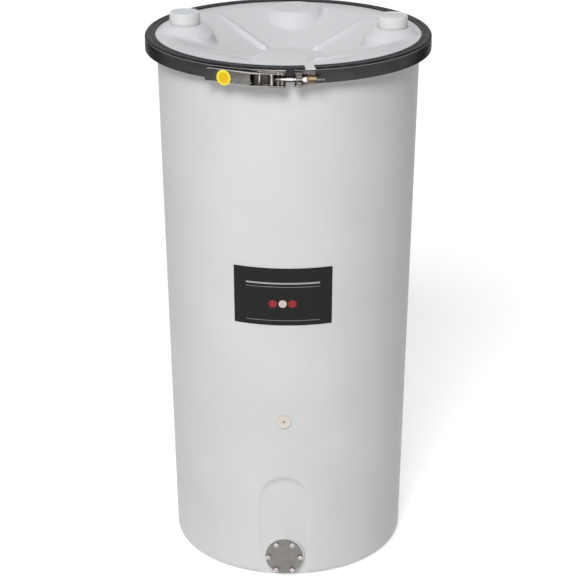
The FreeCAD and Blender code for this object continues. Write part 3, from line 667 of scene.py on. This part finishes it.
def smoothPoints(shape, points, rounds, factor=0.5):
    for number in range(rounds):
        bmesh.ops.smooth_vert(shape, verts=points, factor=factor, use_axis_x=True,
                              use_axis_y=True, use_axis_z=True)


def turnToFront(shape, height):
    # a shape made round Z turns to look out of the front at a height
    bmesh.ops.rotate(shape, cent=(0, 0, 0), matrix=Matrix.Rotation(math.pi / 2, 3, "X"),
                     verts=shape.verts)
    bmesh.ops.translate(shape, vec=(0, 0, height), verts=shape.verts)


# tank body

tankShape = {
    "footRadius": 0.256, "topRadius": 0.280, "wall": 0.007, "floor": 0.009,
    "flangeRadius": 0.2995, "flangeLow": 1.151, "height": 1.163, "mouthRadius": 0.273,
    "baseCorner": 0.022, "floorCorner": 0.015, "flangeCorner": 0.008, "flangeRound": 0.002,
    "mouthSlope": 0.003, "mouthRound": 0.0015,
    "recessPlane": 0.250, "recessHalf": 0.0525, "recessSpring": 0.1855,
    "recessEdge": 0.0045,      # how softly the recess runs out into the wall
    "recessRoot": 0.0050,      # and into its own flat
    "recessSlice": 0.0065, "recessSlices": 42,   # cuts across the wall that the recess needs
    "fineFront": 0.22, "fineSide": 0.082, "fineTop": 0.285, "fineRounds": 2,
    "pressFront": 0.2, "pressSide": 0.085, "pressTop": 0.29,
    "bossHeight": 0.056, "bossRadius": 0.044, "bossStand": 0.009, "bossFlare": 0.002,
    "bossRoot": 0.004, "bossSteps": 96,
    "bore": 0.025, "boreDepth": 0.02, "pocket": 0.0051, "pocketDepth": 0.0121,
    "pockets": 6, "boltCircle": 0.0355, "past": 0.01,   # how far the tools stand out
    "portHeight": 0.385, "portHole": 0.0091, "portFrom": 0.24, "portTo": 0.28,
    "steps": 256,
}


def recessSurface(x, z, plane, half):
    # how far the recess's own surface stands from the axis, in front of a point
    above = z - tankShape["recessSpring"]
    past = (abs(x) if above < 0 else math.hypot(x, above)) - half
    return plane + 0.5 * (past + math.sqrt(past * past + tankShape["recessRoot"] ** 2))


def pressRecess(point, plane, half):
    here = -point.co.y
    there = recessSurface(point.co.x, point.co.z, plane, half)
    soft = tankShape["recessEdge"]
    apart = here - there
    point.co.y = -(there + 0.5 * (apart - math.sqrt(apart * apart + soft * soft)))


def tankShell():
    size = tankShape
    rise = (size["topRadius"] - size["footRadius"]) / size["flangeLow"]
    shape = turnedSection([
        (0, 0, 0),
        (size["footRadius"], 0, size["baseCorner"]),
        (size["topRadius"], size["flangeLow"], size["flangeCorner"]),
        (size["flangeRadius"], size["flangeLow"], size["flangeRound"]),
        (size["flangeRadius"], size["height"], size["flangeRound"]),
        (size["mouthRadius"] + size["mouthSlope"], size["height"], size["mouthRound"]),
        (size["mouthRadius"], size["height"] - size["mouthSlope"], size["mouthRound"]),
        (size["footRadius"] - size["wall"], size["floor"], size["floorCorner"]),
        (0, size["floor"], 0),
    ], size["steps"], arc=7)
    for step in range(1, size["recessSlices"] + 1):
        height = size["recessSlice"] * step
        everything = shape.verts[:] + shape.edges[:] + shape.faces[:]
        bmesh.ops.bisect_plane(shape, geom=everything, dist=1e-5, plane_co=(0, 0, height),
                               plane_no=(0, 0, 1))
    for number in range(size["fineRounds"]):
        near = []
        for face in shape.faces:
            x, y, z = face.calc_center_median()
            if y < -size["fineFront"] and abs(x) < size["fineSide"] and z < size["fineTop"]:
                near.append(face)
        edges = list({edge for face in near for edge in face.edges})
        bmesh.ops.subdivide_edges(shape, edges=edges, cuts=1, use_grid_fill=True)
    middle = size["footRadius"] - size["wall"] / 2
    for point in shape.verts:
        if (point.co.y > -size["pressFront"] or abs(point.co.x) > size["pressSide"]
                or point.co.z > size["pressTop"]):
            continue
        radius = math.hypot(point.co.x, point.co.y)
        outside = radius > middle + rise * point.co.z or point.co.z < size["floor"] * 0.9
        plane = size["recessPlane"] - (0 if outside else size["wall"])
        half = size["recessHalf"] + (0 if outside else size["wall"])
        if outside or point.co.z > size["floor"] + 0.0005:
            pressRecess(point, plane, half)
    return shape


def outletBoss():
    size = tankShape
    root, flare = -size["bossRoot"], size["bossFlare"]
    turned = flare * 0.29   # the middle of a quarter round
    shape = turnedSection([
        (0, root, 0),
        (size["bossRadius"] + flare, root, 0),
        (size["bossRadius"] + flare, 0.0, 0),
        (size["bossRadius"] + turned, turned, 0.001),
        (size["bossRadius"], flare, 0.0008),
        (size["bossRadius"], size["bossStand"], 0.0008),
        (0, size["bossStand"], 0),
    ], size["bossSteps"])
    bmesh.ops.translate(shape, vec=(0, 0, size["recessPlane"]), verts=shape.verts)
    turnToFront(shape, size["bossHeight"])
    return shape


def frontHoles():
    size = tankShape
    holes = bmesh.new()
    face = size["recessPlane"] + size["bossStand"]
    outside = face + size["past"]
    places = [(0, size["bossHeight"], size["bore"], size["recessPlane"] - size["boreDepth"],
               outside),
              (0, size["portHeight"], size["portHole"], size["portFrom"], size["portTo"])]
    for number in range(size["pockets"]):
        turn = math.radians(360 / size["pockets"] * number)
        places.append((size["boltCircle"] * math.cos(turn),
                       size["bossHeight"] + size["boltCircle"] * math.sin(turn),
                       size["pocket"], face - size["pocketDepth"], outside))
    for x, z, radius, near, far in places:
        place = Matrix.Translation((x, -(near + far) / 2, z))
        lying = Matrix.Rotation(math.pi / 2, 4, "X")
        bmesh.ops.create_cone(holes, cap_ends=True, segments=64, radius1=radius, radius2=radius,
                              depth=far - near, matrix=place @ lying)
    return holes


def makeTankBody():
    body = finishedMesh(tankShell(), [booleanStep("UNION", "MANIFOLD", 0),
                                      booleanStep("DIFFERENCE", "MANIFOLD", 1)],
                        (outletBoss(), frontHoles()))
    addPiece(body, "tank_shell", "tank_body", ("tank_body",), sharp=38.0)


makeTankBody()
print("tank body made")


# lid

lidShape = {
    "voxel": 0.0028, "turn": -2.0, "neckCentre": 0.221, "neckBase": 1.190,
    "boreReach": 0.0227,       # faces of the neck's bore lie inside this radius
    "softReach": 0.2575,       # smoothing is fuller inside this radius
    "softRounds": 2, "edgeRounds": 2, "edgeFactor": 0.4,
    "ribs": 45.0, "ribHalf": 8.0, "ribInner": 0.085, "ribOuter": 0.225,   # softer ribs behind
    "ribRounds": 6,
    "bossInner": 0.040, "bossOuter": 0.085,   # ring round each neck that runs out softly
    "bossFrom": 0.2, "bossRounds": 24,        # on its outer side
    "neckHole": 0.0300, "holeDepth": 0.04, "neckSegments": 96,
    "cutAbove": 0.0003,        # how far over their base the necks are cut off
}


def neckCentres():
    turn = math.radians(lidShape["turn"])
    across = lidShape["neckCentre"] * math.cos(turn)
    back = lidShape["neckCentre"] * math.sin(turn)
    return {"left": Vector((-across, -back, 0)), "right": Vector((across, back, 0))}


def openLid():
    # the lid's solid without its necks, closed again and remeshed evenly
    size = lidShape
    shape = copiedNode("lid")
    everything = shape.verts[:] + shape.edges[:] + shape.faces[:]
    bmesh.ops.bisect_plane(shape, geom=everything, dist=1e-6, clear_outer=True,
                           plane_co=(0, 0, size["neckBase"] + size["cutAbove"]),
                           plane_no=(0, 0, 1))
    bore = []
    for face in shape.faces:
        centre = face.calc_center_median()
        for neck in neckCentres().values():
            apart = math.hypot(centre.x - neck.x, centre.y - neck.y)
            if apart < size["boreReach"] and abs(face.normal.z) < 0.1:
                bore.append(face)
    bmesh.ops.delete(shape, geom=bore, context="FACES")
    bmesh.ops.holes_fill(shape, edges=[edge for edge in shape.edges if edge.is_boundary], sides=0)
    bmesh.ops.triangulate(shape, faces=[face for face in shape.faces if len(face.verts) > 4])
    return finishedMesh(shape, [("REMESH", {"mode": "VOXEL", "voxel_size": size["voxel"]})])


def smoothLid(shape):
    size = lidShape
    soft = [point for point in shape.verts
            if math.hypot(point.co.x, point.co.y) < size["softReach"]]
    smoothPoints(shape, soft, size["softRounds"])
    ribs = []
    for point in soft:
        angle = abs(math.degrees(math.atan2(point.co.x, point.co.y)) + size["turn"])
        if (size["ribInner"] < point.co.xy.length < size["ribOuter"]
                and abs(angle - size["ribs"]) < size["ribHalf"]):
            ribs.append(point)
    smoothPoints(shape, ribs, size["ribRounds"])
    foot = [point for point in soft if math.hypot(point.co.x, point.co.y) > size["bossFrom"]
            and any(size["bossInner"] < (point.co.xy - neck.xy).length < size["bossOuter"]
                    for neck in neckCentres().values())]
    smoothPoints(shape, foot, size["bossRounds"])
    edge = [point for point in shape.verts
            if math.hypot(point.co.x, point.co.y) >= size["softReach"]]
    smoothPoints(shape, edge, size["edgeRounds"], size["edgeFactor"])


def makeLidShell():
    size = lidShape
    shape = openLid()
    smoothLid(shape)
    holes = bmesh.new()
    for neck in neckCentres().values():
        bmesh.ops.create_cone(holes, cap_ends=True, segments=size["neckSegments"],
                              radius1=size["neckHole"], radius2=size["neckHole"],
                              depth=size["holeDepth"],
                              matrix=Matrix.Translation((neck.x, neck.y, size["neckBase"])))
    shape = finishedMesh(shape, [booleanStep("DIFFERENCE", "MANIFOLD", 0)], (holes,))
    addPiece(shape, "lid_shell", "lid", ("lid",), sharp=50.0)


neckShape = {
    "collar": 0.032, "collarTop": 1.1925, "neck": 0.0275, "bore": 0.0225, "top": 1.211,
    "plug": 0.0302, "low": 1.1838, "step": 0.0012,   # how far the collar starts under its base
    "steps": 128,
    "thread": {"rise": 0.0012, "width": 0.0026, "pitch": 0.0060, "turns": 2.0, "low": 1.1955,
               "steps": 96},
}


def threadRidge(radius, thread, sunk=0.0003, crest=0.35):
    # a raised thread: a small section spun upward round the axis
    ridge = bmesh.new()
    low, half, turns = thread["low"], thread["width"] / 2, thread["turns"]
    root, top = radius - sunk, radius + thread["rise"]
    corners = [(root, low - half), (top, low - half * crest), (top, low + half * crest),
               (root, low + half)]
    points = [ridge.verts.new((0, -out, height)) for out, height in corners]
    ridge.faces.new(points)
    count = int(thread["steps"] * turns)
    bmesh.ops.spin(ridge, geom=ridge.verts[:] + ridge.edges[:] + ridge.faces[:], cent=(0, 0, 0),
                   axis=(0, 0, 1), dvec=(0, 0, thread["pitch"] * turns / count),
                   angle=2 * math.pi * turns, steps=count, use_merge=False)
    bmesh.ops.remove_doubles(ridge, verts=ridge.verts, dist=1e-7)
    bmesh.ops.recalc_face_normals(ridge, faces=ridge.faces)
    return ridge


def joinShape(shape, other):
    mesh = bpy.data.meshes.new("joined")
    other.to_mesh(mesh)
    other.free()
    shape.from_mesh(mesh)
    bpy.data.meshes.remove(mesh)


def makeNecks():
    size = neckShape
    collarLow = lidShape["neckBase"] - size["step"]
    for side, centre in neckCentres().items():
        neck = turnedSection([
            (size["bore"], size["low"], 0.0005),
            (size["plug"], size["low"], 0.0005),
            (size["plug"], collarLow, 0),
            (size["collar"], collarLow, 0),
            (size["collar"], size["collarTop"], 0.0008),
            (size["neck"], size["collarTop"], 0.0008),
            (size["neck"], size["top"], 0.001),
            (size["bore"], size["top"], 0.001),
        ], size["steps"])
        joinShape(neck, threadRidge(size["neck"], size["thread"]))
        bmesh.ops.translate(neck, vec=centre, verts=neck.verts)
        addPiece(neck, side + "_neck", "lid", finish="lid_plastic")


makeLidShell()
makeNecks()
print("lid made")


# screw caps

capShape = {
    "low": 1.193, "top": 1.217, "radius": 0.033, "draft": 0.0006, "bore": 0.029,
    "inside": 1.2135, "dish": 0.024, "dishSlope": 0.0008, "dishDepth": 0.0016,
    "dot": 0.010, "dotSlope": 0.0003, "dotRise": 0.0008,
    "gate": 0.0016, "gateShare": 0.8, "gateDepth": 0.0003,
    "steps": 128, "threadInset": 0.0003,
    "thread": {"rise": -0.0009, "width": 0.0022, "pitch": 0.006, "turns": 1.6, "low": 1.1960,
               "steps": 96},
}


def makeCaps():
    size = capShape
    floor = size["top"] - size["dishDepth"]
    dotTop = floor + size["dotRise"]
    for side, centre in neckCentres().items():
        cap = turnedSection([
            (0, size["inside"], 0),
            (size["bore"], size["inside"], 0.001),
            (size["bore"], size["low"], 0.0006),
            (size["radius"], size["low"], 0.001),
            (size["radius"] - size["draft"], size["top"], 0.0042),
            (size["dish"] + size["dishSlope"], size["top"], 0.0012),
            (size["dish"], floor, 0.0010),
            (size["dot"] + size["dotSlope"], floor, 0.0005),
            (size["dot"], dotTop, 0.0004),
            (size["gate"], dotTop, 0.0001),
            (size["gate"] * size["gateShare"], dotTop - size["gateDepth"], 0.0001),
            (0, dotTop - size["gateDepth"], 0),
        ], size["steps"], arc=6)
        joinShape(cap, threadRidge(size["bore"] + size["threadInset"], size["thread"]))
        bmesh.ops.translate(cap, vec=centre, verts=cap.verts)
        addPiece(cap, side + "_cap_finished", side + "_cap", (side + "_cap",), sharp=40.0)


makeCaps()
print("caps made")


# rings round the rim

linerShape = {
    "inner": 0.2998, "outer": 0.3025, "low": 1.151, "bottom": 1.1753, "top": 1.1783,
    "lip": 0.283, "grooveFrom": 0.2909, "grooveTo": 0.2931, "grooveDepth": 0.001,
    "gapFrom": 8.4, "gapTo": 12.5, "round": 0.0012, "steps": 240,
}
bandShape = {
    "inner": 0.3038, "outer": 0.3050, "low": 1.146, "high": 1.174, "from": 4.5, "to": 361.2,
    "hem": 0.0004, "steps": 240,
}


def makeRings():
    size = linerShape
    liner = turnedSection([
        (size["lip"], size["bottom"], 0.0003),
        (size["inner"], size["bottom"], 0),
        (size["inner"], size["low"], 0.0003),
        (size["outer"], size["low"], 0.0008),
        (size["outer"], size["top"], size["round"]),
        (size["grooveTo"], size["top"], 0.0003),
        (size["grooveTo"], size["top"] - size["grooveDepth"], 0.0002),
        (size["grooveFrom"], size["top"] - size["grooveDepth"], 0.0002),
        (size["grooveFrom"], size["top"], 0.0003),
        (size["lip"], size["top"], 0.0009),
    ], size["steps"], size["gapTo"], 360 - size["gapTo"] + size["gapFrom"], arc=3)
    addPiece(liner, "liner_finished", "clamp_liner", ("clamp_liner",), sharp=40.0)
    size = bandShape
    band = turnedSection([
        (size["inner"], size["low"], size["hem"]),
        (size["outer"], size["low"], size["hem"]),
        (size["outer"], size["high"], size["hem"]),
        (size["inner"], size["high"], size["hem"]),
    ], size["steps"], size["from"], size["to"] - size["from"], arc=3)
    addPiece(band, "band_finished", "clamp_band", ("clamp_band",), sharp=40.0)


makeRings()
print("rings made")


# eye bolt with its cut thread

boltShape = {
    "barrel": (-0.022078, -0.315729, 1.158), "line": (0.999689, 0.024926, 0.0),
    "radius": 0.003, "root": 0.00245, "end": 0.1065, "threadFrom": 0.044, "runOut": 0.0007,
    "pitch": 0.001, "ridge": 0.8, "ridgeFrom": 0.001, "ridgeShort": 0.0025, "ridgeSteps": 20,
    "neckLow": 0.001, "neckHigh": 0.0075, "shankLow": 0.0095, "steps": 40,
    "neckWide": 0.0012, "neckNarrow": 0.0006,   # how much thicker the neck is at the eye
    "eye": 0.007, "eyeHalf": 0.008, "eyeRound": 0.0009, "pin": 0.0041, "pinDepth": 0.05,
    "eyeSegments": 48,
}


def makeEyeBolt():
    size = boltShape
    eye = bmesh.new()
    bmesh.ops.create_cone(eye, cap_ends=True, segments=size["eyeSegments"], radius1=size["eye"],
                          radius2=size["eye"], depth=2 * size["eyeHalf"])
    rims = [edge for edge in eye.edges if edge.calc_face_angle(0) > 1]
    bmesh.ops.bevel(eye, geom=rims, offset=size["eyeRound"], offset_type="OFFSET", segments=3,
                    profile=0.5, affect="EDGES", material=-1)
    neck = turnedSection([
        (0, size["neckLow"], 0),
        (size["radius"] + size["neckWide"], size["neckLow"], 0),
        (size["radius"] + size["neckNarrow"], size["neckHigh"], 0.001),
        (size["radius"], size["shankLow"], 0.001),
        (size["radius"], size["threadFrom"], 0.0006),
        (size["root"], size["threadFrom"] + size["runOut"], 0),
        (size["root"], size["end"], 0.0008),
        (0, size["end"], 0),
    ], size["steps"])
    pinHole = bmesh.new()
    bmesh.ops.create_cone(pinHole, cap_ends=True, segments=size["eyeSegments"],
                          radius1=size["pin"], radius2=size["pin"], depth=size["pinDepth"])
    turn = Vector(size["line"]).to_track_quat("Z", "Y").to_matrix()
    bmesh.ops.rotate(neck, cent=(0, 0, 0), matrix=turn, verts=neck.verts)
    eye = finishedMesh(eye, [booleanStep("UNION", "EXACT", 0),
                             booleanStep("DIFFERENCE", "EXACT", 1)], (neck, pinHole))
    thread = threadRidge(size["root"], {
        "rise": size["radius"] - size["root"],
        "width": size["pitch"] * size["ridge"],
        "pitch": size["pitch"],
        "turns": (size["end"] - size["threadFrom"] - size["ridgeShort"]) / size["pitch"],
        "low": size["threadFrom"] + size["ridgeFrom"],
        "steps": size["ridgeSteps"],
    })
    bmesh.ops.rotate(thread, cent=(0, 0, 0), matrix=turn, verts=thread.verts)
    joinShape(eye, thread)
    bmesh.ops.translate(eye, vec=size["barrel"], verts=eye.verts)
    addPiece(eye, "eye_bolt_threaded", "eye_bolt", ("eye_bolt",))


makeEyeBolt()
print("eye bolt made")


# edges of the rigid pieces

softEdges = {
    "latch_frame": 0.0004, "latch_lever": 0.0004, "trunnion": 0.0005,
    "trunnion_strap": 0.00025, "bolt_sleeve": 0.0008, "outlet_plate": 0.0004,
    "outlet_bolts": 0.0005, "sample_port_bush": 0.0004, "sample_port_nut": 0.0004,
    "stop_pin": 0.0003, "clamp_tongue": 0.00015,
}


def softenEdges():
    for node, width in softEdges.items():
        addPiece(softenedNode(node, width), node + "_finished", node, (node,))


softenEdges()
print("edges softened")
